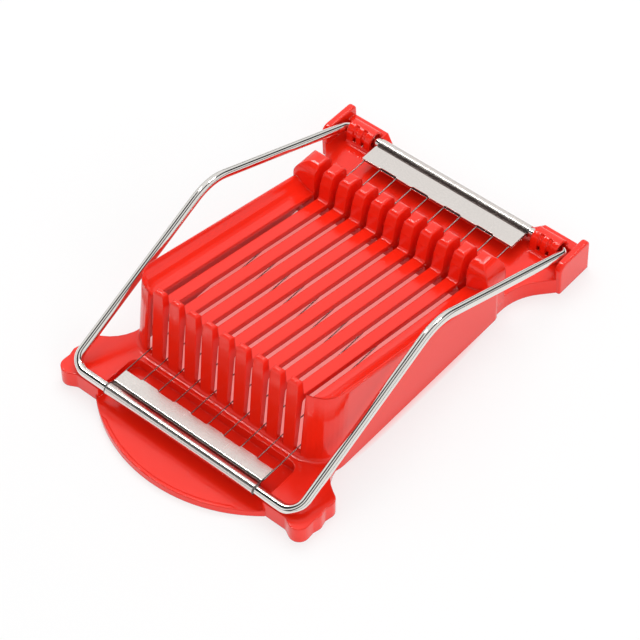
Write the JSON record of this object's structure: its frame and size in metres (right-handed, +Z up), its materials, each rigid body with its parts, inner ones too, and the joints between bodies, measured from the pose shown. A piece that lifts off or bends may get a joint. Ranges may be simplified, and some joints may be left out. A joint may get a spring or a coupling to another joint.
{
  "type": "wire slicer",
  "caption": "Egg and luncheon-meat wire slicer: moulded tray with a slotted sloping food bed, and a hinged steel rod frame that carries parallel cutting wires.",
  "frame": {"origin": "middle of the footprint, on the table", "axes": "+X across the tray to the right, +Y from the tongue at the front to the hinge at the rear, +Z up"},
  "size_m": [0.128, 0.1983, 0.0484],
  "materials": {
    "red_plastic": "glossy injection-moulded ABS",
    "polished_rod": "polished stainless steel rod",
    "clamp_sheet": "satin stainless sheet",
    "cutting_wire": "drawn stainless wire"
  },
  "bodies": {
    "base": {"base_tray": "red_plastic"},
    "cutting_frame": {"wire_frame": "polished_rod", "front_wire_clamp": "clamp_sheet", "rear_wire_clamp": "clamp_sheet", "cutting_wire_01": "cutting_wire", "cutting_wire_02": "cutting_wire", "cutting_wire_03": "cutting_wire", "cutting_wire_04": "cutting_wire", "cutting_wire_05": "cutting_wire", "cutting_wire_06": "cutting_wire", "cutting_wire_07": "cutting_wire", "cutting_wire_08": "cutting_wire", "cutting_wire_09": "cutting_wire", "cutting_wire_10": "cutting_wire"}
  },
  "joints": [
    {"name": "frame_hinge", "type": "hinge", "parent": "base", "child": "cutting_frame", "pos_m": [0, 0.0902, 0.0125], "axis": [-1, 0, 0], "range_deg": [0, 125]}
  ]
}
